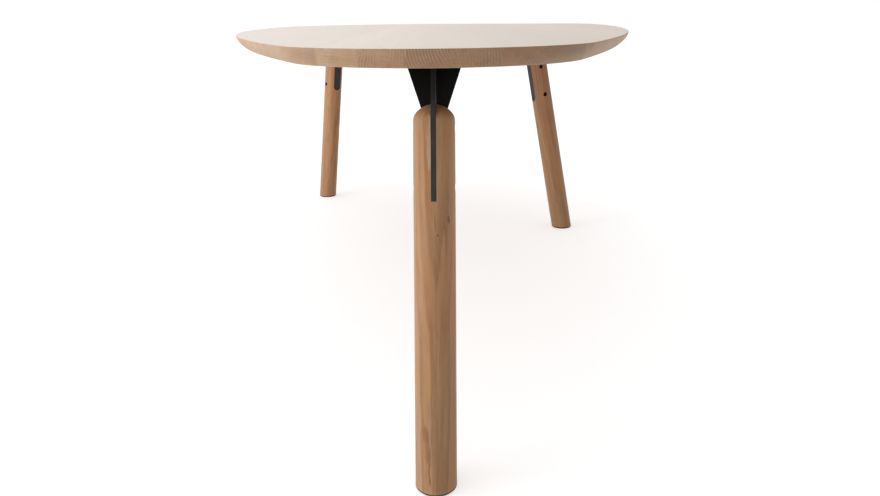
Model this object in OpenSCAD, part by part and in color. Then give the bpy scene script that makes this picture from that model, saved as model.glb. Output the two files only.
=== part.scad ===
// Dining table with a rounded three-cornered top of glued oak staves on three splayed round legs.
// Each leg hangs on a T-shaped steel bracket: a tongue stands in a slot through the leg's top and a
// tapered cross plate lies in a recess in the leg's inner face.
// Millimetres, +Z up. The origin is on the floor under the middle of the top's overall length and
// width. The narrow end of the top, the nose, points to -Y.

/* [Tabletop] */
// Overall length of the top, from the nose to the far edge
top_l = 2500; // [2100:10:2900]
// Overall width of the top
top_w = 1250; // [1050:10:1450]
// Height of the top's surface above the floor
table_h = 740; // [700:5:780]
// Thickness of the staves
top_t = 27; // [24:1:40]
// Width of the undercut bevel around the rim, seen in plan
bevel_w = 20; // [10:1:40]
// Height of the square lip above the bevel
lip_h = 6; // [3:0.5:12]
// Rounding of the rim's upper and lower edges
rim_round = 1.5; // [0.5:0.5:2.5]

/* [Outline] */
// Radius of the nose
nose_r = 270; // [240:2:340]
// Distance of the nose's centre to the right of the middle
nose_x = 12; // [-40:1:40]
// Radius of the far right corner
right_corner_r = 200; // [150:5:300]
// Radius of the far left corner
left_corner_r = 465; // [350:5:500]
// Distance of the right flank's widest place from the far end
right_widest_in = 520; // [420:2:560]
// Distance of the left flank's widest place from the far end
left_widest_in = 600; // [540:1:660]
// Radius of the far edge between the two corners
far_edge_r = 5500; // [3000:50:7000]

/* [Legs] */
// Diameter of a leg at the floor
leg_foot_d = 73; // [66:1:80]
// Diameter of a leg where its dome starts
leg_top_d = 70; // [66:1:80]
// Height of the dome on a leg's top end
dome_h = 28; // [20:1:34]
// Lean of a leg from the vertical
splay = 11.7; // [5:0.1:15]
// Gap between a leg's dome and the underside of the top
leg_gap = 70; // [50:1:90]
// Rounding of a leg's lower edge
foot_round = 2.5; // [2:0.5:8]
// Thickness of the glide under each foot
glide_t = 2; // [2:0.5:5]
// Diameter of the glide
glide_d = 68; // [50:1:68]
// Distance of the nose leg's foot from the tip of the nose
nose_foot_in = 68; // [60:1:120]
// Sideways place of the nose leg's foot
nose_foot_x = 2; // [-40:1:40]
// Bearing in which the nose leg leans outward, counted from +X to +Y
nose_lean = -91.7; // [-100:0.1:-80]
// Distance of the left leg's foot from the centre of the far left corner
left_foot_reach = 363; // [310:1:375]
// Bearing of that foot from the same centre
left_foot_bearing = 159.8; // [140:0.1:175]
// Bearing in which the left leg leans outward
left_lean = 128.9; // [110:0.1:160]
// Distance of the right leg's foot from the top's widest right side
right_foot_in = 141; // [110:1:200]
// Distance of the right leg's foot before the far right corner's centre
right_foot_back = 351; // [280:1:400]
// Bearing in which the right leg leans outward
right_lean = 17.3; // [0:0.1:40]

/* [Brackets] */
// Thickness of the tongue in the leg's slot
tongue_t = 8; // [6:0.5:10]
// Thickness of the cross plate
cross_t = 8; // [5:0.5:10]
// Width of the cross plate's narrow strip
strip_w = 31; // [24:1:40]
// Width of the cross plate at the mounting plate
wing_w = 96; // [70:1:110]
// Length over which the cross plate narrows
wing_l = 98; // [70:1:110]
// Depth of the tongue in the leg, from the dome's crown
tongue_depth = 158; // [150:1:190]
// How much higher the cross plate's round end stops than the tongue
cross_short = 1; // [0:1:30]
// Thickness of the mounting plate
mount_t = 6; // [4:0.5:8]
// Length of the mounting plate along the leg's lean
mount_l = 130; // [110:1:180]
// Width of the mounting plate
mount_w = 150; // [130:1:180]
// Corner radius of the mounting plate
mount_corner_r = 12; // [5:1:20]
// Gap between the steel and the wood in the slot and the recess
slot_gap = 0.4; // [0.2:0.1:1]

/* [Fasteners] */
// Diameter of the bolts through a leg
bolt_d = 8; // [6:0.5:10]
// Diameter of the bolts' heads and of the sleeve nuts' heads
bolt_head_d = 14; // [12:0.5:16]
// Height of a bolt's head
bolt_head_h = 6; // [4:0.5:8]
// Diameter of a sleeve nut's barrel
sleeve_d = 11; // [10.5:0.5:14]
// Distance from a leg's middle to the seat of a bolt's head
bolt_seat = 27; // [20:0.5:27]
// Distance between a leg's two bolts
bolt_pitch = 98; // [80:1:104]
// Distance from the tongue's lower end to the lower bolt
bolt_end = 21; // [18:1:28]
// Diameter of the screws that hold a mounting plate
screw_d = 6; // [5:0.5:8]
// Length of those screws
screw_l = 18; // [15:1:20]
// Distance of those screws from the mounting plate's edges
screw_edge = 16; // [14:1:20]
// Outer diameter of the threaded inserts
insert_d = 11; // [9:0.5:13]
// Length of the threaded inserts
insert_l = 14; // [12:1:16]
// Gap round a fastener in its hole
fit_gap = 0.2; // [0.1:0.05:0.4]

/* [Battens] */
// Width of a batten
batten_w = 40; // [25:1:60]
// Thickness of a batten
batten_t = 8; // [5:0.5:10]
// Distance of a batten's ends from the rim
batten_rim = 130; // [60:5:200]
// Diameter of the wood screws in the battens
wood_screw_d = 5; // [4:0.5:6]
// Length of the wood screws
wood_screw_l = 20; // [16:1:22]
// Number of wood screws in each batten
wood_screws = 6; // [3:1:8]

/* [Hidden] */
$fa = 1;
$fs = 1;
stave_count = 19;
leg_names = ["nose", "left", "right"];
batten_names = ["front", "middle", "rear"];
function two(i) = str(i < 10 ? "0" : "", i);
leg_parts = ["leg", "glide", "mounting_plate", "tongue", "cross_plate", "bolts", "sleeve_nuts",
    "plate_screws", "threaded_inserts"];

oak = [0.80, 0.68, 0.54];
leg_oak = [0.66, 0.47, 0.32];
black_steel = [0.06, 0.06, 0.06];
zinc = [0.70, 0.70, 0.68];
brass = [0.76, 0.62, 0.34];
dark_felt = [0.12, 0.11, 0.10];

under_h = table_h - top_t;
mount_h = under_h - mount_t;
eps = 0.01;
past = 60;  // how far a cutting shape runs past what it cuts

// Outline of the top: six arcs in turn round the top, each tangent to the next. Both flanks are
// widest at half the overall width. The nose and the far left corner reach the overall length.
function polar(r, a) = [r * cos(a), r * sin(a)];
function bearing_of(v) = (atan2(v[1], v[0]) + 360) % 360;
function reach(r, dx) = sqrt(r * r - dx * dx);
nose_c = [nose_x, nose_r - top_l / 2];
// Radius of the flank that is tangent to the nose and, out and along from the nose's centre, upright
function flank_r(out, along) = (out * out + along * along - nose_r * nose_r) / (2 * (out - nose_r));
right_widest_y = top_l / 2 - right_widest_in;
left_widest_y = top_l / 2 - left_widest_in;
right_flank_r = flank_r(top_w / 2 - nose_x, right_widest_y - nose_c[1]);
left_flank_r = flank_r(top_w / 2 + nose_x, left_widest_y - nose_c[1]);
right_flank_c = [top_w / 2 - right_flank_r, right_widest_y];
left_flank_c = [left_flank_r - top_w / 2, left_widest_y];
right_corner_c = [top_w / 2 - right_corner_r, right_widest_y];
left_corner_y = top_l / 2 - left_corner_r;
left_corner_c = [
    left_flank_c[0] - reach(left_flank_r - left_corner_r, left_corner_y - left_widest_y),
    left_corner_y];
// The far edge's centre lies far_edge_r less each corner's radius away from that corner's centre.
far_span = left_corner_c - right_corner_c;
far_a = far_edge_r - right_corner_r;
far_b = far_edge_r - left_corner_r;
far_along = (far_a * far_a - far_b * far_b + far_span * far_span) / (2 * norm(far_span));
far_unit = far_span / norm(far_span);
far_edge_c = right_corner_c + far_unit * far_along
    + [-far_unit[1], far_unit[0]] * reach(far_a, far_along);

// Bearings of the six points where one arc passes into the next
nose_to_right = bearing_of(nose_c - right_flank_c) - 360;
right_to_far = bearing_of(right_corner_c - far_edge_c);
far_to_left = bearing_of(left_corner_c - far_edge_c);
left_to_flank = bearing_of(left_corner_c - left_flank_c);
flank_to_nose = bearing_of(nose_c - left_flank_c);
// Each arc: centre, radius, first bearing, last bearing
outline_arcs = [
    [nose_c, nose_r, flank_to_nose, nose_to_right + 360],
    [right_flank_c, right_flank_r, nose_to_right, 0],
    [right_corner_c, right_corner_r, 0, right_to_far],
    [far_edge_c, far_edge_r, right_to_far, far_to_left],
    [left_corner_c, left_corner_r, far_to_left, left_to_flank],
    [left_flank_c, left_flank_r, left_to_flank, flank_to_nose]];

// The top is sawn roughly and then trimmed to its outline: the three corners each in a wedge of
// its own, and the long arcs between them in short turns. The turns reach a little past each other
// and past the ends of their arc, so that no fin is left between them.
corner_arcs = [outline_arcs[0], outline_arcs[2], outline_arcs[4]];
long_arcs = [outline_arcs[1], outline_arcs[3], outline_arcs[5]];
rough_out = 15;  // distance of the rough outline outside the rim
rough_step = 4;
rim_fn = 256;
turn_step = 0.5;
turn_over = 0.01;
arc_over = 0.5;
wedge_in = 30;  // distance of a wedge's blunt tip from the middle of its corner
wedge_lap = 0.02;
skin = 0.1;

// Staves
stave_w = top_w / stave_count;

// Legs: x and y of the foot's middle, and the bearing in which the leg leans outward
feet = [
    [[nose_foot_x, nose_foot_in - top_l / 2], nose_lean],
    [left_corner_c + polar(left_foot_reach, left_foot_bearing), left_lean],
    [[top_w / 2 - right_foot_in, right_corner_c[1] - right_foot_back], right_lean]];
leg_r = leg_top_d / 2;
crown_z = (under_h - leg_gap) / cos(splay);  // the dome's crown, along the leg's axis
dome_z = crown_z - dome_h;
tongue_z = crown_z - tongue_depth;
cross_z = tongue_z + cross_short;
bolt_zs = [tongue_z + bolt_end, tongue_z + bolt_end + bolt_pitch];
cross_out = reach(leg_r, strip_w / 2);  // the outer face, flush with the leg along the strip's edges
cross_in = cross_out - cross_t;  // distance of the recess's floor from the leg's axis
foot_x = -(glide_t + foot_round) * tan(splay);  // the axis where a foot's rounding ends
lean_in = -mount_h * tan(splay);  // the axis at the mounting plate
wing_z = mount_h / cos(splay) + cross_out * tan(splay);  // where the cross plate meets that plate
counterbore_d = bolt_head_d + 1;
hex_socket = bolt_d * 0.75;  // across flats
screw_head_d = screw_d * 2;
insert_hole_l = insert_l + 2;

// Battens: place along the table, left end and right end. Two share the way from the nose leg's
// mounting plate to the right leg's, and the third lies midway between the right and the left leg's.
mount_ys = [for (foot = feet) foot[0][1] + polar(lean_in, foot[1])[1]];
front_span = mount_ys[2] - mount_ys[0];
batten_ys = [
    mount_ys[0] + 0.44 * front_span,
    mount_ys[0] + 0.81 * front_span,
    (mount_ys[2] + mount_ys[1]) / 2];
battens = [for (y = batten_ys)
    [y, left_flank_c[0] - reach(left_flank_r, y - left_flank_c[1]) + batten_rim,
        right_flank_c[0] + reach(right_flank_r, y - right_flank_c[1]) - batten_rim]];
batten_screw_edge = 30;
wood_head_d = wood_screw_d * 2;
wood_head_h = 3;
slot_play = 4;  // how far a wood screw may move each way in its slotted hole

// The rim's edge at the radius r, from the top's surface down: a square lip above an undercut
// bevel, with both edges eased
function edge_points(r) =
    let (bevel_h = top_t - lip_h, ease = rim_round * 0.3)
    [
        [r - rim_round, top_t],
        [r - ease, top_t - ease],
        [r, top_t - rim_round],
        [r, bevel_h + ease],
        [r - ease, bevel_h - ease],
        [r - bevel_w + rim_round * bevel_w / bevel_h, rim_round],
        [r - bevel_w - rim_round, 0]];

// Is a stretch of an arc in the strip between x0 and x1? room is how far from the rim it counts.
function meets(arc, from, to, x0, x1, room) =
    let (xs = [for (r = [arc[1] - room, arc[1] + room], a = [from, to]) arc[0][0] + r * cos(a)])
    min(xs) < x1 && max(xs) > x0;

module trim(arc, from, to) {
    translate([arc[0][0], arc[0][1], under_h])
        rotate_extrude(start = from, angle = to - from, $fn = rim_fn)
            polygon(concat(
                [[arc[1] + past, -1], [arc[1] + past, top_t + 1], [arc[1] - rim_round, top_t + 1]],
                edge_points(arc[1]),
                [[arc[1] - bevel_w - rim_round, -1]]));
}

module trim_long_arcs(x0, x1) {
    for (arc = long_arcs) {
        sweep = arc[3] - arc[2] + 2 * arc_over;
        count = ceil(sweep / turn_step);
        for (k = [0:count - 1]) {
            from = arc[2] - arc_over + sweep * k / count - turn_over;
            to = arc[2] - arc_over + sweep * (k + 1) / count + turn_over;
            if (meets(arc, from, to, x0, x1, past))
                trim(arc, from, to);
        }
    }
}

// Upright wedge between the two ends of a corner's arc, and as many degrees more as lap says
module corner_wedge(arc, lap) {
    translate([0, 0, under_h - 1])
        linear_extrude(top_t + 2)
            polygon([
                arc[0] + polar(wedge_in, arc[2] - lap),
                arc[0] + polar(2 * arc[1], arc[2] - lap),
                arc[0] + polar(6 * arc[1], (arc[2] + arc[3]) / 2),
                arc[0] + polar(2 * arc[1], arc[3] + lap),
                arc[0] + polar(wedge_in, arc[3] + lap)]);
}

// Wood inside a corner, which joins the corner's rim to the rest across both sides of its wedge
module corner_core(arc) {
    translate([arc[0][0], arc[0][1], under_h])
        rotate_extrude(start = arc[2] - arc_over, angle = arc[3] - arc[2] + 2 * arc_over, $fn = rim_fn)
            polygon(concat([[0, 0], [0, top_t]], edge_points(arc[1] - skin)));
}

// The top's outline as it is sawn before the trimming
module rough_top() {
    translate([0, 0, under_h])
        linear_extrude(top_t)
            polygon([for (arc = outline_arcs)
                let (count = ceil((arc[3] - arc[2]) / rough_step))
                for (k = [0:count - 1])
                    arc[0] + polar(arc[1] + rough_out, arc[2] + (arc[3] - arc[2]) * k / count)]);
}

// Places its children at a leg's foot, with +X along the leg's outward lean
module at_foot(i) {
    translate(feet[i][0])
        rotate([0, 0, feet[i][1]])
            children();
}

// Places its children on a leg's axis, which becomes their +Z
module on_axis() {
    rotate([0, -splay, 0])
        children();
}

// Places its children at each of a mounting plate's four screws, in the plane of the underside
module at_screws() {
    for (x = [-1, 1], y = [-1, 1])
        translate([lean_in + x * (mount_l / 2 - screw_edge), y * (mount_w / 2 - screw_edge), under_h])
            children();
}

// Places its children at each wood screw of a batten, in the plane of the underside
module at_wood_screws(i) {
    first = battens[i][1] + batten_screw_edge;
    span = battens[i][2] - batten_screw_edge - first;
    for (k = [0:wood_screws - 1])
        translate([first + span * k / (wood_screws - 1), battens[i][0], under_h])
            children();
}

// Cuts that the underside of the top takes: insert holes, batten grooves and screw holes
module underside_cuts() {
    for (i = [0:len(feet) - 1])
        at_foot(i)
            at_screws()
                translate([0, 0, -1])
                    cylinder(d = insert_d + 2 * fit_gap, h = 1 + insert_hole_l);
    for (i = [0:len(battens) - 1]) {
        translate([battens[i][1] - slot_play, battens[i][0] - batten_w / 2 - slot_gap, under_h - 1])
            cube([battens[i][2] - battens[i][1] + 2 * slot_play, batten_w + 2 * slot_gap,
                1 + batten_t]);
        at_wood_screws(i)
            cylinder(d = wood_screw_d + 2 * fit_gap, h = wood_screw_l + fit_gap);
    }
}

// Strip of the top that a stave is made from, counted from 1 at the left
module strip(n) {
    left_over = n == 1 ? past : 0;
    right_over = n == stave_count ? past : 0;
    translate([(n - 1) * stave_w - top_w / 2 - left_over, -top_l, under_h - 1])
        cube([stave_w + left_over + right_over, 2 * top_l, top_t + 2]);
}

module stave(n) {
    x0 = (n - 1) * stave_w - top_w / 2;
    x1 = x0 + stave_w;
    corners = [for (arc = corner_arcs) if (meets(arc, arc[2], arc[3], x0, x1, 0)) arc];
    color(oak)
        difference() {
            union() {
                difference() {
                    intersection() {
                        rough_top();
                        strip(n);
                    }
                    trim_long_arcs(x0, x1);
                    for (arc = corners)
                        corner_wedge(arc, 0);
                }
                for (arc = corners) {
                    difference() {
                        intersection() {
                            rough_top();
                            strip(n);
                            corner_wedge(arc, wedge_lap);
                        }
                        trim(arc, arc[2] - arc_over, arc[3] + arc_over);
                    }
                    intersection() {
                        corner_core(arc);
                        strip(n);
                    }
                }
            }
            underside_cuts();
        }
}

// Profile of a leg's dome: a flat crown arc that passes into a tighter shoulder arc
module dome_profile() {
    shoulder_r = dome_h * 0.8;
    shoulder_x = leg_r - shoulder_r;
    crown_r = (shoulder_x * shoulder_x + dome_h * dome_h - shoulder_r * shoulder_r)
        / (2 * (dome_h - shoulder_r));
    crown_y = dome_h - crown_r;
    turn = past / norm([shoulder_x, -crown_y]);
    intersection() {
        translate([0, crown_y])
            circle(crown_r);
        polygon([[0, 0], [0, past], [0, crown_y] + [shoulder_x, -crown_y] * (turn + 1), [shoulder_x, 0]]);
    }
    intersection() {
        translate([shoulder_x, 0])
            circle(shoulder_r);
        polygon([[shoulder_x, 0], [past, 0], [past, past],
            [0, crown_y] + [shoulder_x, -crown_y] * (turn + 1)]);
    }
}

// Cross plate's outline across the leg, with room added all round and run past its upper end
module cross_outline(room, extra) {
    half = strip_w / 2 + room;
    flare = (wing_w - strip_w) / 2 / wing_l * (wing_l + extra);
    round_z = cross_z + strip_w / 2;
    polygon([
        [-half, round_z],
        [half, round_z],
        [half, wing_z - wing_l],
        [half + flare, wing_z + extra],
        [-half - flare, wing_z + extra],
        [-half, wing_z - wing_l]]);
    translate([0, round_z])
        circle(half);
}

// The same outline stood up as a plate at the recess, between two distances from the leg's axis
module cross_body(room, extra, near, far) {
    translate([-near, 0, 0])
        rotate([90, 0, -90])
            linear_extrude(far - near)
                cross_outline(room, extra);
}

module leg(i) {
    color(leg_oak)
        at_foot(i)
            difference() {
                intersection() {
                    on_axis()
                        union() {
                            translate([0, 0, -past])
                                cylinder(d1 = leg_foot_d, d2 = leg_top_d, h = dome_z + past);
                            translate([0, 0, dome_z])
                                rotate_extrude()
                                    dome_profile();
                        }
                    foot_envelope();
                }
                on_axis() {
                    // slot for the tongue, open at the top
                    translate([-cross_in - eps, -tongue_t / 2 - slot_gap, tongue_z - slot_gap])
                        cube([cross_in + past, tongue_t + 2 * slot_gap, tongue_depth + past]);
                    // recess for the cross plate
                    cross_body(slot_gap, 0, cross_in, past);
                    for (z = bolt_zs)
                        translate([0, 0, z])
                            bolt_hole();
                }
            }
}

// Upright envelope that cuts a leg flat above its glide and rounds its lower edge
module foot_envelope() {
    foot_r = leg_foot_d / 2 / cos(splay);
    steps = 6;
    translate([foot_x, 0, glide_t])
        rotate_extrude()
            polygon(concat(
                [[0, 0]],
                [for (k = [0:steps])
                    [foot_r - foot_round, foot_round]
                        + foot_round * [sin(90 * k / steps), -cos(90 * k / steps)]],
                [[foot_r + table_h, foot_round + table_h], [0, foot_round + table_h]]));
}

// Hole through a leg for a bolt and its sleeve nut, with a counterbore at each end
module bolt_hole() {
    rotate([-90, 0, 0]) {
        cylinder(d = bolt_d + 1, h = bolt_seat);
        translate([0, 0, bolt_seat])
            cylinder(d = counterbore_d, h = past);
        translate([0, 0, -bolt_seat])
            cylinder(d = sleeve_d + 2 * fit_gap, h = bolt_seat);
        translate([0, 0, -bolt_seat - past])
            cylinder(d = counterbore_d, h = past);
    }
}

module glide(i) {
    color(dark_felt)
        at_foot(i)
            translate([foot_x, 0, 0])
                cylinder(d = glide_d, h = glide_t);
}

module mounting_plate(i) {
    color(black_steel)
        at_foot(i)
            difference() {
                translate([lean_in, 0, mount_h])
                    linear_extrude(mount_t) {
                        square([mount_l - 2 * mount_corner_r, mount_w], center = true);
                        square([mount_l, mount_w - 2 * mount_corner_r], center = true);
                        for (x = [-1, 1], y = [-1, 1])
                            translate([x * (mount_l / 2 - mount_corner_r),
                                    y * (mount_w / 2 - mount_corner_r)])
                                circle(mount_corner_r);
                    }
                at_screws()
                    translate([0, 0, -mount_t]) {
                        translate([0, 0, -past])
                            cylinder(d = screw_d + 2 * fit_gap, h = 2 * past);
                        translate([0, 0, -eps])
                            cylinder(d1 = screw_head_d + 2 * (fit_gap + eps), d2 = screw_d + 2 * fit_gap,
                                h = (screw_head_d - screw_d) / 2 + eps);
                    }
            }
}

// Everything below the mounting plate, which trims the welded plates to it
module below_mount() {
    translate([-table_h, -table_h, -table_h])
        cube([2 * table_h, 2 * table_h, table_h + mount_h]);
}

module tongue(i) {
    color(black_steel)
        at_foot(i)
            intersection() {
                on_axis()
                    difference() {
                        translate([-cross_in, -tongue_t / 2, tongue_z])
                            cube([cross_in + leg_r, tongue_t, tongue_depth + leg_gap + past]);
                        for (z = bolt_zs)
                            translate([0, 0, z])
                                rotate([90, 0, 0])
                                    cylinder(d = bolt_d + 2 * fit_gap, h = 2 * tongue_t, center = true);
                    }
                below_mount();
            }
}

module cross_plate(i) {
    color(black_steel)
        at_foot(i)
            intersection() {
                on_axis()
                    cross_body(0, past, cross_in, cross_out);
                below_mount();
            }
}

// Bolts of one leg: a round head with a hexagon socket and a plain shank
module bolts(i) {
    color(black_steel)
        at_foot(i)
            on_axis()
                for (z = bolt_zs)
                    translate([0, 0, z])
                        rotate([-90, 0, 0])
                            difference() {
                                union() {
                                    translate([0, 0, bolt_seat])
                                        cylinder(d = bolt_head_d, h = bolt_head_h);
                                    translate([0, 0, -bolt_seat + 4])
                                        cylinder(d = bolt_d, h = 2 * bolt_seat - 4 + eps);
                                }
                                translate([0, 0, bolt_seat + bolt_head_h / 3])
                                    cylinder(d = hex_socket / cos(30), h = bolt_head_h, $fn = 6);
                            }
}

// Sleeve nuts of one leg: a flat head with a hexagon socket and a barrel that takes the bolt
module sleeve_nuts(i) {
    head_h = bolt_head_h / 2;
    barrel_l = bolt_seat - tongue_t / 2 - slot_gap;
    color(black_steel)
        at_foot(i)
            on_axis()
                for (z = bolt_zs)
                    translate([0, 0, z])
                        rotate([90, 0, 0])
                            difference() {
                                union() {
                                    translate([0, 0, bolt_seat])
                                        cylinder(d = bolt_head_d, h = head_h);
                                    translate([0, 0, bolt_seat - barrel_l])
                                        cylinder(d = sleeve_d, h = barrel_l + eps);
                                }
                                translate([0, 0, -past])
                                    cylinder(d = bolt_d + 2 * fit_gap, h = past + bolt_seat - 2);
                                translate([0, 0, bolt_seat])
                                    cylinder(d = hex_socket / cos(30), h = bolt_head_h, $fn = 6);
                            }
}

// Countersunk screws that hold one mounting plate
module plate_screws(i) {
    color(black_steel)
        at_foot(i)
            at_screws()
                translate([0, 0, -mount_t]) {
                    cylinder(d1 = screw_head_d, d2 = screw_d, h = (screw_head_d - screw_d) / 2);
                    cylinder(d = screw_d, h = screw_l);
                }
}

module threaded_inserts(i) {
    color(brass)
        at_foot(i)
            at_screws()
                difference() {
                    cylinder(d = insert_d, h = insert_l);
                    translate([0, 0, -eps])
                        cylinder(d = screw_d + 2 * fit_gap, h = insert_l + 2 * eps);
                }
}

// Slot along a batten, open below
module slot(width, h) {
    translate([0, 0, -eps])
        linear_extrude(h + eps) {
            for (x = [-slot_play, slot_play])
                translate([x, 0])
                    circle(d = width);
            square([2 * slot_play, width], center = true);
        }
}

module batten(i) {
    color(black_steel)
        difference() {
            translate([battens[i][1], battens[i][0] - batten_w / 2, under_h])
                cube([battens[i][2] - battens[i][1], batten_w, batten_t]);
            at_wood_screws(i) {
                slot(wood_screw_d + 2 * slot_gap, batten_t + 1);
                slot(wood_head_d + 2 * slot_gap, wood_head_h + slot_gap);
            }
        }
}

// Pan-head screws of one batten, which can slide along as the top swells and shrinks
module batten_screws(i) {
    color(zinc)
        at_wood_screws(i) {
            translate([0, 0, slot_gap])
                cylinder(d = wood_head_d, h = wood_head_h);
            translate([0, 0, slot_gap])
                cylinder(d = wood_screw_d, h = wood_screw_l - slot_gap);
        }
}

for (n = [1:stave_count])
    stave(n);

for (i = [0:len(leg_names) - 1]) {
    leg(i);
    glide(i);
    mounting_plate(i);
    tongue(i);
    cross_plate(i);
    bolts(i);
    sleeve_nuts(i);
    plate_screws(i);
    threaded_inserts(i);
}

for (i = [0:len(batten_names) - 1]) {
    batten(i);
    batten_screws(i);
}
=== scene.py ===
import bmesh
import bpy
from math import atan2, ceil, cos, pi, radians, sin, sqrt
from mathutils import Matrix, Vector


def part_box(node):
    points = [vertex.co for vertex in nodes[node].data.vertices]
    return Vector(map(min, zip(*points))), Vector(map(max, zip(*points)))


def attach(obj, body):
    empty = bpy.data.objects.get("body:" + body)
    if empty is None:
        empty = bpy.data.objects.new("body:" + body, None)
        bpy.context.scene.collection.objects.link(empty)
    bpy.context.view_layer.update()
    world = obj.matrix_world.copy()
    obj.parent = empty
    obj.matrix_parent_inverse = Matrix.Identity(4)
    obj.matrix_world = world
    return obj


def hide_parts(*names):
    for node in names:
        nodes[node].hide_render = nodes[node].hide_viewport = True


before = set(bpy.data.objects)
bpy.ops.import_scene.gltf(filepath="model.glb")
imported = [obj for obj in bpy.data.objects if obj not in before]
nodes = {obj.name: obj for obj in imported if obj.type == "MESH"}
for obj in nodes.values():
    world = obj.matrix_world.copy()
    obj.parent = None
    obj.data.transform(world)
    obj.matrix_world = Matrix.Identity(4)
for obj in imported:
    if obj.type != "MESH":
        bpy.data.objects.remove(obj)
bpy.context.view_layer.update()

# Camera

CAMERA_PLACE = (0.0132, -2.216, 0.7835)
CAMERA_PITCH = radians(18.484)
CAMERA_ROLL = radians(0.667)
FOCAL_PIXELS = 700
IMAGE_WIDTH = 880
SENSOR_WIDTH = 36

camera_data = bpy.data.cameras.new("camera")
camera_data.sensor_fit = "HORIZONTAL"
camera_data.sensor_width = SENSOR_WIDTH
camera_data.lens = SENSOR_WIDTH * FOCAL_PIXELS / IMAGE_WIDTH
camera_data.clip_start = 0.05
camera_data.clip_end = 200
camera = bpy.data.objects.new("camera", camera_data)
camera.matrix_world = (
    Matrix.Translation(CAMERA_PLACE)
    @ Matrix.Rotation(pi / 2 - CAMERA_PITCH, 4, "X")
    @ Matrix.Rotation(-CAMERA_ROLL, 4, "Z")
)
bpy.context.scene.collection.objects.link(camera)
bpy.context.scene.camera = camera

# Sizes that are the same in the CAD source

TOP_L = 2.5
TOP_W = 1.25
TABLE_H = 0.74
TOP_T = 0.027
UNDER_H = TABLE_H - TOP_T
BEVEL_W = 0.020
NOSE_R = 0.270
NOSE_X = 0.012
RIGHT_CORNER_R = 0.2
LEFT_CORNER_R = 0.465
RIGHT_WIDEST_IN = 0.520
LEFT_WIDEST_IN = 0.600
FAR_EDGE_R = 5.5
STAVES = 19
STAVE_W = TOP_W / STAVES
SPLAY = radians(11.7)
LEANS = {"nose": radians(-91.7), "left": radians(128.9), "right": radians(17.3)}
BATTENS = ("front_batten", "middle_batten", "rear_batten")
GROOVE_DEPTH = 0.008
GROOVE_GAP = 0.0004
GROOVE_PLAY = 0.004
SCREW_COUNT = 6
SCREW_INSET = 0.030
SCREW_HOLE_R = 0.0027
SCREW_HOLE_L = 0.0202
INSERT_X = 0.049
INSERT_Y = 0.059
INSERT_HOLE_R = 0.0057
INSERT_HOLE_L = 0.016

# Finer detail of the rim, and how finely the meshes are divided

LIP_H = 0.0022
RIM_ROUND = 0.0015
BEVEL_BOW = 0.004
BEVEL_STEPS = 12
EASING_STEPS = 4
OUTLINE_STEP = 0.012
HOLE_SIDES = 32
CUTTER_OVERSHOOT = 0.01
SHARP_ANGLE = radians(35)


def mesh_object(name, mesh):
    obj = bpy.data.objects.new(name, mesh)
    bpy.context.scene.collection.objects.link(obj)
    return obj


def mesh_of(bm, name):
    """A mesh with the faces of bm, which is freed."""
    mesh = bpy.data.meshes.new(name)
    bm.to_mesh(mesh)
    bm.free()
    return mesh


# Outline of the top: six arcs, each as centre, radius, first and last bearing


def polar(r, a):
    return Vector((r * cos(a), r * sin(a)))


def bearing(v):
    return atan2(v.y, v.x) % (2 * pi)


def reach(r, dx):
    return sqrt(r * r - dx * dx)


def flank_radius(out, along):
    return (out * out + along * along - NOSE_R * NOSE_R) / (2 * (out - NOSE_R))


def outline_arcs():
    nose = Vector((NOSE_X, NOSE_R - TOP_L / 2))
    right_y = TOP_L / 2 - RIGHT_WIDEST_IN
    left_y = TOP_L / 2 - LEFT_WIDEST_IN
    right_r = flank_radius(TOP_W / 2 - NOSE_X, right_y - nose.y)
    left_r = flank_radius(TOP_W / 2 + NOSE_X, left_y - nose.y)
    right_flank = Vector((TOP_W / 2 - right_r, right_y))
    left_flank = Vector((left_r - TOP_W / 2, left_y))
    right_corner = Vector((TOP_W / 2 - RIGHT_CORNER_R, right_y))
    corner_y = TOP_L / 2 - LEFT_CORNER_R
    corner_x = left_flank.x - reach(left_r - LEFT_CORNER_R, corner_y - left_y)
    left_corner = Vector((corner_x, corner_y))
    span = left_corner - right_corner
    far_a = FAR_EDGE_R - RIGHT_CORNER_R
    far_b = FAR_EDGE_R - LEFT_CORNER_R
    along = (far_a**2 - far_b**2 + span.length_squared) / (2 * span.length)
    unit = span.normalized()
    far_edge = right_corner + unit * along + Vector((-unit.y, unit.x)) * reach(far_a, along)
    to_right = bearing(nose - right_flank) - 2 * pi
    to_far = bearing(right_corner - far_edge)
    to_left = bearing(left_corner - far_edge)
    to_flank = bearing(left_corner - left_flank)
    to_nose = bearing(nose - left_flank)
    return [
        (nose, NOSE_R, to_nose, to_right + 2 * pi),
        (right_flank, right_r, to_right, 0),
        (right_corner, RIGHT_CORNER_R, 0, to_far),
        (far_edge, FAR_EDGE_R, to_far, to_left),
        (left_corner, LEFT_CORNER_R, to_left, to_flank),
        (left_flank, left_r, to_flank, to_nose),
    ]


def eased(start, corner, end):
    """Points of a curve from start to end that bends at corner."""
    points = []
    for k in range(EASING_STEPS + 1):
        t = k / EASING_STEPS
        a, b, c = (1 - t) ** 2, 2 * t * (1 - t), t * t
        points.append(tuple(a * p + b * q + c * r for p, q, r in zip(start, corner, end)))
    return points


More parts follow.
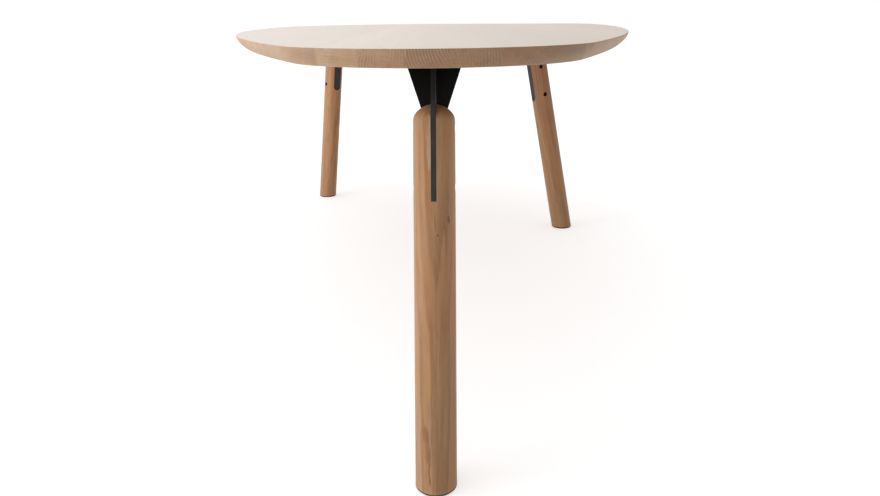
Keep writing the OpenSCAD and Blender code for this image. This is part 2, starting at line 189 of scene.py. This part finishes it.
def rim_section():
    """The rim from the top's surface to its underside: distance in from the rim and height.

    Below a narrow square lip the undercut bevel is slightly bowed.
    """
    bevel_h = TOP_T - LIP_H
    points = eased((RIM_ROUND, TOP_T), (0, TOP_T), (0, TOP_T - RIM_ROUND))
    for k in range(BEVEL_STEPS):
        t = k / BEVEL_STEPS
        points.append((BEVEL_W * t - BEVEL_BOW * 4 * t * (1 - t), bevel_h * (1 - t)))
    last = points.pop()
    return points + eased(last, (BEVEL_W, 0), (BEVEL_W + RIM_ROUND, 0))


def top_mesh():
    """The whole top, before it is divided into staves."""
    bm = bmesh.new()
    rings = []
    for inset, z in rim_section():
        ring = []
        for centre, r, first, last in outline_arcs():
            steps = ceil((last - first) * sqrt(r) / OUTLINE_STEP)
            for k in range(steps):
                p = centre + polar(r - inset, first + (last - first) * k / steps)
                ring.append(bm.verts.new((p.x, p.y, UNDER_H + z)))
        rings.append(ring)
    count = len(rings[0])
    for upper, lower in zip(rings, rings[1:]):
        for j in range(count):
            n = (j + 1) % count
            bm.faces.new((upper[j], lower[j], lower[n], upper[n]))
    bm.faces.new(rings[0])
    bm.faces.new(list(reversed(rings[-1])))
    return mesh_of(bm, "top")


def groove_cuts():
    """Grooves for the battens in the underside."""
    bm = bmesh.new()
    for name in BATTENS:
        low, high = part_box(name)
        x0, x1 = low[0] - GROOVE_PLAY, high[0] + GROOVE_PLAY
        y0, y1 = low[1] - GROOVE_GAP, high[1] + GROOVE_GAP
        z0, z1 = UNDER_H - CUTTER_OVERSHOOT, UNDER_H + GROOVE_DEPTH
        outline = ((x0, y0), (x1, y0), (x1, y1), (x0, y1))
        v = [bm.verts.new((x, y, z)) for z in (z0, z1) for x, y in outline]
        for k in range(4):
            n = (k + 1) % 4
            bm.faces.new((v[k], v[n], v[n + 4], v[k + 4]))
        bm.faces.new(v[3::-1])
        bm.faces.new(v[4:])
    return mesh_of(bm, "grooves")


def hole_places():
    """Middle, radius and depth of each hole in the underside."""
    holes = []
    for side, lean in LEANS.items():
        low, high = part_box(side + "_mounting_plate")
        middle = (Vector(low) + Vector(high)).to_2d() / 2
        for u in (-INSERT_X, INSERT_X):
            for v in (-INSERT_Y, INSERT_Y):
                place = middle + polar(u, lean) + polar(v, lean + pi / 2)
                holes.append((place, INSERT_HOLE_R, INSERT_HOLE_L))
    for name in BATTENS:
        low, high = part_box(name)
        first, last = low[0] + SCREW_INSET, high[0] - SCREW_INSET
        for k in range(SCREW_COUNT):
            x = first + (last - first) * k / (SCREW_COUNT - 1)
            holes.append((Vector((x, (low[1] + high[1]) / 2)), SCREW_HOLE_R, SCREW_HOLE_L))
    return holes


def hole_cuts():
    """Holes for the threaded inserts and for the battens' screws in the underside."""
    bm = bmesh.new()
    for place, r, length in hole_places():
        ring = [place + polar(r, 2 * pi * k / HOLE_SIDES) for k in range(HOLE_SIDES)]
        low_ring = [bm.verts.new((p.x, p.y, UNDER_H - CUTTER_OVERSHOOT)) for p in ring]
        high_ring = [bm.verts.new((p.x, p.y, UNDER_H + length)) for p in ring]
        for k in range(HOLE_SIDES):
            n = (k + 1) % HOLE_SIDES
            bm.faces.new((low_ring[k], low_ring[n], high_ring[n], high_ring[k]))
        bm.faces.new(list(reversed(low_ring)))
        bm.faces.new(high_ring)
    return mesh_of(bm, "holes")


def cut_out(mesh, cutters):
    """The mesh less each of the cutters."""
    body = mesh_object("uncut", mesh)
    helpers = [body]
    for cutter in cutters:
        tool = mesh_object("cutter", cutter)
        helpers.append(tool)
        change = body.modifiers.new("cut", "BOOLEAN")
        change.operation = "DIFFERENCE"
        change.solver = "EXACT"
        change.object = tool
    graph = bpy.context.evaluated_depsgraph_get()
    graph.update()
    result = bpy.data.meshes.new_from_object(body.evaluated_get(graph))
    for obj in helpers:
        bpy.data.objects.remove(obj)
    return result


def stave_mesh(whole, n):
    """Stave n of the top, counted from 0 at the left."""
    bm = bmesh.new()
    bm.from_mesh(whole)
    left = -TOP_W / 2 + n * STAVE_W
    cuts = []
    if n > 0:
        cuts.append((left, -1))
    if n < STAVES - 1:
        cuts.append((left + STAVE_W, 1))
    for x, side in cuts:
        cut = bmesh.ops.bisect_plane(
            bm,
            geom=bm.verts[:] + bm.edges[:] + bm.faces[:],
            dist=1e-7,
            plane_co=(x, 0, 0),
            plane_no=(side, 0, 0),
            clear_outer=True,
        )
        edges = [e for e in cut["geom_cut"] if isinstance(e, bmesh.types.BMEdge)]
        bmesh.ops.contextual_create(bm, geom=edges)
    bmesh.ops.recalc_face_normals(bm, faces=bm.faces)
    for face in bm.faces:
        face.smooth = True
    mesh = mesh_of(bm, f"stave_{n + 1:02d}_wood")
    mesh.set_sharp_from_angle(angle=SHARP_ANGLE)
    return mesh


# Materials


class Graph:
    """A node tree, written as nested calls."""

    def __init__(self, owner):
        owner.use_nodes = True
        self.owner = owner
        self.tree = owner.node_tree
        self.tree.nodes.clear()

    def put(self, socket, value):
        if isinstance(value, bpy.types.NodeSocket):
            self.tree.links.new(value, socket)
        else:
            socket.default_value = value

    def node(self, kind, inputs=(), out=0, **settings):
        made = self.tree.nodes.new("ShaderNode" + kind)
        for key, value in settings.items():
            setattr(made, key, value)
        for key, value in dict(inputs).items():
            self.put(made.inputs[key], value)
        return made.outputs[out]

    def math(self, operation, *values):
        return self.node("Math", dict(enumerate(values)), operation=operation)

    def plus(self, a, b):
        return self.math("ADD", a, b)

    def minus(self, a, b):
        return self.math("SUBTRACT", a, b)

    def times(self, a, b):
        return self.math("MULTIPLY", a, b)

    def place(self):
        return self.node("TexCoord", out="Object")

    def split(self, vector):
        node = self.tree.nodes.new("ShaderNodeSeparateXYZ")
        self.put(node.inputs[0], vector)
        return node.outputs

    def join(self, x, y, z):
        return self.node("CombineXYZ", {0: x, 1: y, 2: z})

    def turn(self, vector, axis, angle):
        inputs = {"Vector": vector, "Axis": axis, "Angle": angle}
        return self.node("VectorRotate", inputs, rotation_type="AXIS_ANGLE")

    def noise(self, vector, scale, detail=2.0, out=0):
        scaled = self.node("VectorMath", {0: vector, 1: scale}, operation="MULTIPLY")
        inputs = {"Vector": scaled, "Scale": 1.0, "Detail": detail, "Roughness": 0.5}
        return self.node("TexNoise", inputs, out=out)

    def grain(self, place, across, along, detail=2.0, out=0):
        """Noise with the given waves per metre across and along the grain, which runs along Z."""
        return self.noise(place, (across, across, along), detail, out)

    def ramp(self, value, low, high, to_low=0.0, to_high=1.0, shape="SMOOTHSTEP"):
        names = ("Value", "From Min", "From Max", "To Min", "To Max")
        inputs = dict(zip(names, (value, low, high, to_low, to_high)))
        return self.node("MapRange", inputs, interpolation_type=shape)

    def blend(self, factor, first, second, kind="MIX"):
        node = self.tree.nodes.new("ShaderNodeMix")
        node.data_type = "RGBA"
        node.blend_type = kind
        self.put(node.inputs[0], factor)
        self.put(node.inputs[6], first)
        self.put(node.inputs[7], second)
        return node.outputs[2]

    def tinted(self, colour, tint, factor=1.0):
        return self.blend(factor, colour, tint, kind="MULTIPLY")

    def bump(self, height, distance, strength=1.0):
        return self.node("Bump", {"Height": height, "Distance": distance, "Strength": strength})

    def surface(self, **sockets):
        """The output of a Principled shader with the given inputs."""
        inputs = {key.replace("_", " "): value for key, value in sockets.items()}
        return self.node("BsdfPrincipled", inputs)

    def finish(self, shader, kind="Material"):
        output = self.tree.nodes.new("ShaderNodeOutput" + kind)
        self.tree.links.new(shader, output.inputs["Surface"])
        return self.owner


def new_graph(name):
    return Graph(bpy.data.materials.new(name))


def grey(level):
    return (level, level, level, 1)


# How far the rings wander, in metres, and the tints that drift along the boards
WARP_DEPTH = 0.03
DRIFT_TINTS = ((1.02, 0.99, 0.975, 1), (0.98, 1.0, 1.015, 1))


def wood(g, place, ring_w, contrast, pale, mid, dark, pore):
    """Colour, open pores and fibres of oak whose rings run round the Z axis of place."""
    warp = g.grain(place, 5, 2, detail=3.0, out=1)
    shift = g.node("VectorMath", {0: warp, "Scale": WARP_DEPTH}, operation="SCALE")
    bx, by, _ = g.split(g.node("VectorMath", {0: place, 1: shift}, operation="ADD"))
    radius = g.math("SQRT", g.plus(g.times(bx, bx), g.times(by, by)))
    uneven = g.times(g.grain(place, 60, 1.5, detail=1.0), 1.1)
    ragged = g.times(g.grain(place, 260, 11), 0.5)
    phase = g.plus(g.math("DIVIDE", radius, ring_w), g.plus(uneven, ragged))
    ring = g.math("FRACT", phase)
    # The early wood of a ring is dark and porous, and fades into the late wood.
    early = g.times(g.ramp(ring, 0.0, 0.15), g.ramp(ring, 0.75, 0.2))
    patch = g.ramp(g.grain(place, 20, 1.6), 0.36, 0.64, 0.12, 1.1)
    rings = g.times(g.times(early, patch), contrast)
    fibre = g.grain(place, 1100, 14)
    broad = g.grain(place, 55, 2.5, detail=3.0)
    streak = g.ramp(g.grain(place, 210, 16, detail=3.0), 0.54, 0.72)
    flame = g.ramp(g.grain(place, 75, 8, detail=3.0), 0.56, 0.66)
    pores = g.grain(place, 1500, 60, detail=1.0)
    porous = g.plus(g.times(early, 0.8), 0.15)
    open_pores = g.times(g.ramp(pores, 0.58, 0.68), porous)
    lively = g.plus(0.25, contrast)
    colour = g.blend(g.ramp(broad, 0.33, 0.67), pale, mid)
    colour = g.blend(rings, colour, dark)
    colour = g.blend(g.times(streak, g.times(lively, 0.5)), colour, dark)
    colour = g.blend(g.times(flame, g.times(lively, 0.4)), colour, dark)
    colour = g.blend(g.times(g.ramp(fibre, 0.35, 0.7), 0.10), colour, dark)
    colour = g.blend(g.times(open_pores, 0.40), colour, pore)
    drift = g.grain(place, 24, 3, detail=1.0)
    tint = g.blend(g.ramp(drift, 0.35, 0.65), *DRIFT_TINTS)
    return g.tinted(colour, tint), open_pores, fibre


# Each stave from the left: where its pith lies sideways and how deep, in stave widths, its tone,
# and how plainly its rings show
BOARDS = (
    (0.9, 1.6, 0.80, 0.5), (-0.6, 0.9, 0.30, 0.6), (1.8, 0.7, 0.75, 0.5), (0.4, 1.3, 0.48, 0.7),
    (-1.1, 0.8, 0.58, 0.5), (0.7, 2.1, 0.50, 0.5), (1.3, 1.6, 0.45, 0.2), (0.45, 1.9, 1.00, 0.35),
    (-1.4, -0.7, 0.70, 1.1), (1.6, -0.7, 0.42, 1.1), (-1.7, 0.0, 0.42, 0.9), (-1.0, 1.4, 0.15, 0.6),
    (0.2, 1.5, 0.05, 0.3), (-1.7, 0.9, 0.30, 0.4), (0.8, 1.8, 0.60, 0.6), (1.4, 0.6, 0.90, 0.5),
    (-0.3, 1.2, 0.35, 0.7), (1.0, 1.9, 0.70, 0.5), (-1.2, 0.7, 0.45, 0.6),
)
# The furthest that a pith may lie from a stave's corner, in stave widths
PITH_RANGE = 2.5
TOP_RING_W = 0.0044
# How far the figure is moved along the grain from one stave to the next
FIGURE_SHIFT = 7.3
# Tints of end grain, of what doesn't face up (painted shade, and warmer), and of the darkest and
# the palest stave
END_TINT = (0.85, 0.82, 0.79, 1)
SIDE_SHADE_TINT = (0.90, 0.83, 0.76, 1)
TONES = ((0.82, 0.79, 0.76, 1), (1.19, 1.20, 1.20, 1))
# Tints between which the staves take turns, the stave that has the first, and the turn of one stave
STAVE_TINTS = ((0.985, 1.015, 1.02, 1), (1.005, 0.985, 1.01, 1))
FIRST_TINTED = 7.0
TINT_TURN = 0.75 * pi
# Half the width of a glue line, in stave widths, where it fades and where it is full
GLUE_LINE_HALF_W = (0.005, 0.001)
GLUE_LINE = (0.25, 0.16, 0.10, 1)


def stave_facts(g, across):
    """Pith sideways and deep, tone and plainness of the stave that holds each point."""
    ramp = g.tree.nodes.new("ShaderNodeValToRGB")
    ramp.color_ramp.interpolation = "CONSTANT"
    stops = ramp.color_ramp.elements
    while len(stops) < STAVES:
        stops.new(1.0)
    for k, (aside, deep, tone, plain) in enumerate(BOARDS):
        stops[k].position = k / STAVES
        spot = [0.5 + offset / (2 * PITH_RANGE) for offset in (aside, deep)]
        stops[k].color = (spot[0], spot[1], tone, plain)
    g.put(ramp.inputs[0], g.math("DIVIDE", across, STAVES))
    aside, deep, tone = g.split(ramp.outputs[0])
    aside = g.ramp(aside, 0.0, 1.0, -PITH_RANGE, PITH_RANGE, "LINEAR")
    deep = g.ramp(deep, 0.0, 1.0, -PITH_RANGE, PITH_RANGE, "LINEAR")
    return aside, deep, tone, ramp.outputs[1]


def top_wood():
    """Pale oiled oak of the staves, whose grain runs along Y."""
    g = new_graph("top_oak")
    x, y, z = g.split(g.place())
    across = g.math("DIVIDE", g.plus(x, TOP_W / 2), STAVE_W)
    number = g.math("FLOOR", across)
    aside, deep, tone, plain = stave_facts(g, across)
    local = g.join(
        g.times(g.minus(g.minus(across, number), aside), STAVE_W),
        g.plus(g.minus(z, UNDER_H), g.times(deep, STAVE_W)),
        g.plus(y, g.times(number, FIGURE_SHIFT)),
    )
    # How far a surface shows end grain, and how far it faces up
    facing = g.split(g.node("TexCoord", out="Normal"))
    end = g.ramp(g.math("ABSOLUTE", facing[1]), 0.3, 0.66)
    face = g.ramp(facing[2], 0.6, 0.95)
    colour, pores, fibre = wood(
        g,
        local,
        ring_w=TOP_RING_W,
        contrast=g.times(plain, g.ramp(end, 0.0, 1.0, 0.25, 0.75)),
        pale=(0.60, 0.42, 0.275, 1),
        mid=(0.545, 0.37, 0.235, 1),
        dark=(0.40, 0.245, 0.14, 1),
        pore=(0.22, 0.13, 0.075, 1),
    )
    colour = g.tinted(colour, END_TINT, end)
    # Painted shade: what doesn't face up is darker, and warmer too
    colour = g.blend(face, g.tinted(colour, SIDE_SHADE_TINT), colour)
    # The staves differ less in tone on the face than on the rim.
    calm = g.ramp(face, 0.0, 1.0, 1.0, 0.6)
    tone = g.plus(0.5, g.times(g.minus(tone, 0.5), calm))
    colour = g.tinted(colour, g.blend(tone, *TONES))
    turn = g.math("COSINE", g.times(g.minus(number, FIRST_TINTED), TINT_TURN))
    rosy = g.ramp(turn, 1.0, -1.0, shape="LINEAR")
    colour = g.tinted(colour, g.blend(rosy, *STAVE_TINTS))
    seam = g.math("ABSOLUTE", g.minus(g.math("FRACT", g.plus(across, 0.5)), 0.5))
    line = g.ramp(seam, *GLUE_LINE_HALF_W)
    colour = g.blend(g.times(line, 0.25), colour, GLUE_LINE)
    height = g.minus(g.times(fibre, 0.25), g.plus(pores, line))
    return g.finish(
        g.surface(
            Base_Color=colour,
            Roughness=g.ramp(face, 0.0, 1.0, 0.55, 0.17),
            Normal=g.bump(height, 0.00004, g.ramp(face, 0.0, 1.0, 0.4, 0.05)),
        )
    )


LEG_RING_W = 0.0085
# Painted light on the left leg and painted shade on the right: how light each leg is painted
LEG_PAINTED_LIGHT = {"nose": 1.0, "left": 1.21, "right": 0.94}
# Marks on the outer side of the legs, one row for each kind: colour, slant, and by leg the height
# along the leg, the place across it, half the height, half the width, and the strength
LEG_MARKS = (
    (
        (0.23, 0.095, 0.04, 1),
        0.1,
        {
            "nose": (
                (0.102, -0.0165, 0.020, 0.0078, 0.72),
                (0.068, -0.0130, 0.034, 0.0060, 0.72),
                (0.030, -0.0105, 0.022, 0.0028, 1.00),
                (0.482, -0.0040, 0.012, 0.0010, 0.60),
                (0.462, 0.0020, 0.018, 0.0011, 0.55),
                (0.425, 0.0040, 0.020, 0.0011, 0.55),
            ),
            "left": ((0.210, 0.0100, 0.030, 0.0030, 0.50),),
            "right": ((0.330, -0.0120, 0.025, 0.0026, 0.50),),
        },
    ),
    # Painted highlight: a pale streak beside the nose leg's slot
    (
        (0.60, 0.43, 0.30, 1),
        0.0,
        {"nose": ((0.590, -0.0072, 0.060, 0.0046, 0.55), (0.600, -0.0080, 0.040, 0.0060, 0.40))},
    ),
    (
        (0.15, 0.052, 0.017, 1),
        0.1,
        {"nose": ((0.468, 0.0240, 0.009, 0.0023, 1.00), (0.443, 0.0060, 0.003, 0.0018, 1.00))},
    ),
)
# Where the pith lies behind a leg and beside its axis, how it leans, and how far the figure is
# moved along the leg for each radian of the leg's bearing
PITH_BEHIND = 0.11
PITH_ASIDE = 0.018
PITH_TILT = 0.03
LEG_FIGURE_SHIFT = 3.0
# The legs are greyer towards the foot, from the first height along the leg to the second
FOOTWARD_FROM = 0.30
FOOTWARD_TO = 0.08
FOOTWARD_TINT = (0.92, 0.965, 0.97, 1)
# Heights above the floor where the painted highlight on the foot's pale rim and the painted shade
# of its dark lower edge begin and are full
FOOT_HIGHLIGHT = (0.012, 0.008)
FOOT_HIGHLIGHT_TINT = (1.10, 1.16, 1.25, 1)
FOOT_SHADE = (0.0064, 0.0050)
FOOT_SHADE_TINT = grey(0.18)


def leg_place(g, side):
    """Place in the leg's own directions, from its foot: outwards, across and along the leg."""
    low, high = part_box(side + "_glide")
    foot = Vector(((low[0] + high[0]) / 2, (low[1] + high[1]) / 2, 0))
    foot = Matrix.Rotation(SPLAY, 3, "Y") @ Matrix.Rotation(-LEANS[side], 3, "Z") @ foot
    upright = g.turn(g.turn(g.place(), (0, 0, 1), -LEANS[side]), (0, 1, 0), SPLAY)
    return g.node("VectorMath", {0: upright, 1: tuple(foot)}, operation="SUBTRACT")


def leg_marks(g, place, marks, slant):
    """Where the marks lie on a leg's outer side, from 0 to 1."""
    out, across, along = g.split(place)
    ragged = g.grain(place, 420, 45)
    outer = g.ramp(out, 0.0, 0.01)
    total = 0.0
    for height, aside, half_h, half_w, strength in marks:
        up = g.minus(along, height)
        centre = g.minus(aside, g.times(up, slant))
        u = g.math("DIVIDE", up, half_h)
        v = g.math("DIVIDE", g.minus(across, centre), half_w)
        far = g.plus(g.times(u, u), g.times(v, v))
        edge = g.plus(far, g.times(ragged, 2.6))
        total = g.math("MAXIMUM", total, g.ramp(edge, 2.3, 1.4, 0.0, strength))
    hairs = g.ramp(g.grain(place, 900, 22), 0.36, 0.55, 0.5, 1.0)
    return g.times(g.times(total, outer), hairs)


def leg_wood(side):
    """Oiled oak of one leg, whose grain runs along the leg."""
    g = new_graph(f"{side}_leg_oak")
    own = leg_place(g, side)
    out, across, along = g.split(own)
    place = g.join(
        g.plus(g.plus(out, PITH_BEHIND), g.times(along, PITH_TILT)),
        g.plus(across, PITH_ASIDE),
        g.plus(along, LEG_FIGURE_SHIFT * LEANS[side]),
    )
    colour, pores, fibre = wood(
        g,
        place,
        ring_w=LEG_RING_W,
        contrast=0.45,
        pale=(0.51, 0.272, 0.124, 1),
        mid=(0.435, 0.216, 0.094, 1),
        dark=(0.27, 0.122, 0.052, 1),
        pore=(0.17, 0.075, 0.032, 1),
    )
    # The dark marks are grain; the pale one is a painted highlight.
    for mark_colour, slant, marks in LEG_MARKS:
        if side in marks:
            colour = g.blend(leg_marks(g, own, marks[side], slant), colour, mark_colour)
    # Painted light and shade: each leg is made lighter or darker as a whole
    colour = g.tinted(colour, grey(LEG_PAINTED_LIGHT[side]))
    footward = g.ramp(along, FOOTWARD_FROM, FOOTWARD_TO)
    colour = g.tinted(colour, g.blend(footward, grey(1.0), FOOTWARD_TINT))
    above_floor = g.split(g.place())[2]
    # Painted highlight: a pale band just above the foot; painted shade: a dark edge where it meets
    # the floor
    rim = g.blend(g.ramp(above_floor, *FOOT_HIGHLIGHT), grey(1.0), FOOT_HIGHLIGHT_TINT)
    rim = g.blend(g.ramp(above_floor, *FOOT_SHADE), rim, FOOT_SHADE_TINT)
    colour = g.tinted(colour, rim)
    return g.finish(
        g.surface(
            Base_Color=colour,
            Roughness=g.ramp(fibre, 0.2, 0.8, 0.46, 0.56),
            Normal=g.bump(g.minus(g.times(fibre, 0.25), pores), 0.00007, 0.5),
        )
    )


# Grey of the black coat, and by node the lighter grey that is painted light
BLACK_COAT = 0.002
BLACK_COAT_SHINE = 0.16
PAINTED_LIGHT_COATS = {
    "nose_tongue": 0.021,
    "left_tongue": 0.010,
    "right_tongue": 0.010,
    "left_cross_plate": 0.022,
}
PAINTED_LIGHT_COAT_SHINE = 0.34
# The lighter grey, painted light, is full below the first height and gives way to the coat's
# own black above the second, as painted shade under the top
PAINTED_LIGHT_HEIGHTS = (0.625, 0.665)


def black_steel(name, base, shine):
    """Fine-textured black powder coat, with a lighter base low down as painted light."""
    g = new_graph(name)
    place = g.place()
    grain = g.noise(place, (1400.0, 1400.0, 1400.0))
    cloud = g.noise(place, (40.0, 40.0, 40.0))
    coat = g.blend(g.ramp(cloud, 0.3, 0.7), grey(base), grey(base * 1.5))
    # Painted light: the base grey low down; painted shade: it fades to the coat's own black under
    # the top
    shade_under_top = g.ramp(g.split(place)[2], *PAINTED_LIGHT_HEIGHTS)
    return g.finish(
        g.surface(
            Base_Color=g.blend(shade_under_top, coat, grey(BLACK_COAT)),
            Roughness=g.ramp(grain, 0.3, 0.7, 0.36, 0.46),
            Specular_IOR_Level=shine,
            Normal=g.bump(grain, 0.00004, 0.4),
        )
    )


def plated(name, low, high, rough):
    """Plated or turned metal with fine tool marks."""
    g = new_graph(name)
    marks = g.grain(g.place(), 300, 2500)
    return g.finish(
        g.surface(
            Base_Color=g.blend(g.ramp(marks, 0.3, 0.7), low, high),
            Metallic=1.0,
            Roughness=g.ramp(marks, 0.3, 0.7, rough, rough + 0.12),
            Normal=g.bump(marks, 0.00003, 0.4),
        )
    )


def glide_felt():
    """Dark felt of the glides."""
    g = new_graph("glide_felt")
    fuzz = g.noise(g.place(), (2200.0, 2200.0, 2200.0), detail=3.0)
    colour = g.blend(g.ramp(fuzz, 0.3, 0.7), (0.02, 0.018, 0.016, 1), (0.045, 0.041, 0.037, 1))
    return g.finish(
        g.surface(Base_Color=colour, Roughness=0.95, Normal=g.bump(fuzz, 0.0003, 0.7))
    )


# Finishes of the CAD nodes, and the staves in their place

finishes = {
    "black_steel": black_steel("black_powder_coat", BLACK_COAT, BLACK_COAT_SHINE),
    "zinc_steel": plated("zinc_plate", (0.55, 0.55, 0.53, 1), (0.68, 0.68, 0.66, 1), 0.28),
    "brass": plated("brass_turned", (0.62, 0.45, 0.20, 1), (0.72, 0.54, 0.27, 1), 0.25),
    "glide": glide_felt(),
}
for side in LEANS:
    nodes[side + "_leg"].material_slots[0].material = leg_wood(side)
# Painted light: lighter coats on the tongues and the left cross plate
for name, base in PAINTED_LIGHT_COATS.items():
    nodes[name].material_slots[0].material = black_steel(f"{name}_painted_light_coat", base, PAINTED_LIGHT_COAT_SHINE)
for obj in nodes.values():
    for slot in obj.material_slots:
        if slot.material.name in finishes:
            slot.material = finishes[slot.material.name]

oak = top_wood()
whole_top = cut_out(top_mesh(), (groove_cuts(), hole_cuts()))
for n in range(STAVES):
    stave = mesh_object(f"stave_{n + 1:02d}_oak", stave_mesh(whole_top, n))
    stave.data.materials.append(oak)
    weighted = stave.modifiers.new("normals", "WEIGHTED_NORMAL")
    weighted.keep_sharp = True
    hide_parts(f"stave_{n + 1:02d}")
    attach(stave, "root")

# Floor and light

FLOOR_HALF = 40
FLOOR_GREY = 0.76
FLOOR_GLOW = 0.54
# The sky's level in the middle and its slope to the right, the share that it lacks in front, and
# the same two for what is added behind and for what glossy surfaces mirror
SKY_LEVEL = 0.74
SKY_SLOPE = -0.27
FRONT_LOSS = 0.62
BEHIND_LEVEL = 0.22
BEHIND_SLOPE = -0.3
MIRRORED_LEVEL = 0.87
MIRRORED_SLOPE = -0.15
MIRRORED_COLOUR = (1.0, 0.985, 0.955, 1)
KEY_PLACE = (-4.5, -2.1, 0.9)
KEY_AIM = (0, -0.7, 0.6)
KEY_SIZE = (3.0, 1.7)
KEY_WATTS = 110
KEY_COLOUR = (0.95, 1.0, 1.11)


def pale_floor():
    """Pale floor that cameras and glossy surfaces see as white, less the object's shadow."""
    g = new_graph("floor")
    path = g.tree.nodes.new("ShaderNodeLightPath")
    seen = g.math("MAXIMUM", path.outputs["Is Camera Ray"], path.outputs["Is Glossy Ray"])
    glow = g.node("Emission", {"Color": grey(1.0), "Strength": g.times(seen, FLOOR_GLOW)})
    paint = g.surface(Base_Color=grey(FLOOR_GREY), Roughness=1.0, Specular_IOR_Level=0.0)
    return g.finish(g.node("AddShader", {0: paint, 1: glow}))


def studio():
    """White background, and soft light that is brightest at the left and behind."""
    g = Graph(bpy.data.worlds.new("studio"))
    # Direction of the sky: to the right, away and up
    x, y, z = g.split(g.node("TexCoord", out="Generated"))
    path = g.tree.nodes.new("ShaderNodeLightPath")
    side = g.plus(g.times(x, SKY_SLOPE), SKY_LEVEL)
    front = g.times(g.ramp(y, -0.1, -0.7), g.ramp(z, 0.55, 0.05))
    behind = g.times(g.ramp(y, 0.1, 0.8), g.ramp(z, 0.7, 0.2))
    light = g.times(side, g.minus(1.0, g.times(front, FRONT_LOSS)))
    light = g.plus(light, g.times(behind, g.plus(g.times(x, BEHIND_SLOPE), BEHIND_LEVEL)))
    mirrored = path.outputs["Is Glossy Ray"]
    glossy = g.times(mirrored, g.plus(g.times(x, MIRRORED_SLOPE), MIRRORED_LEVEL))
    brightest = g.math("MAXIMUM", light, glossy)
    strength = g.math("MAXIMUM", brightest, path.outputs["Is Camera Ray"])
    colour = g.blend(mirrored, grey(1.0), MIRRORED_COLOUR)
    background = g.node("Background", {"Color": colour, "Strength": strength})
    return g.finish(background, kind="World")


def key_light():
    """A soft light from the left, which no glossy surface mirrors."""
    data = bpy.data.lights.new("key", "AREA")
    data.shape = "RECTANGLE"
    data.size, data.size_y = KEY_SIZE
    data.energy = KEY_WATTS
    data.color = KEY_COLOUR
    obj = bpy.data.objects.new("key", data)
    obj.location = KEY_PLACE
    direction = Vector(KEY_AIM) - Vector(KEY_PLACE)
    obj.rotation_euler = direction.to_track_quat("-Z", "Y").to_euler()
    obj.visible_glossy = False
    bpy.context.scene.collection.objects.link(obj)


corners = [(x * FLOOR_HALF, y * FLOOR_HALF, 0) for x, y in ((-1, -1), (1, -1), (1, 1), (-1, 1))]
floor_mesh = bpy.data.meshes.new("floor")
floor_mesh.from_pydata(corners, [], [(0, 1, 2, 3)])
floor_mesh.materials.append(pale_floor())
mesh_object("floor", floor_mesh)
bpy.context.scene.world = studio()
key_light()

bpy.context.scene.view_settings.view_transform = "Standard"
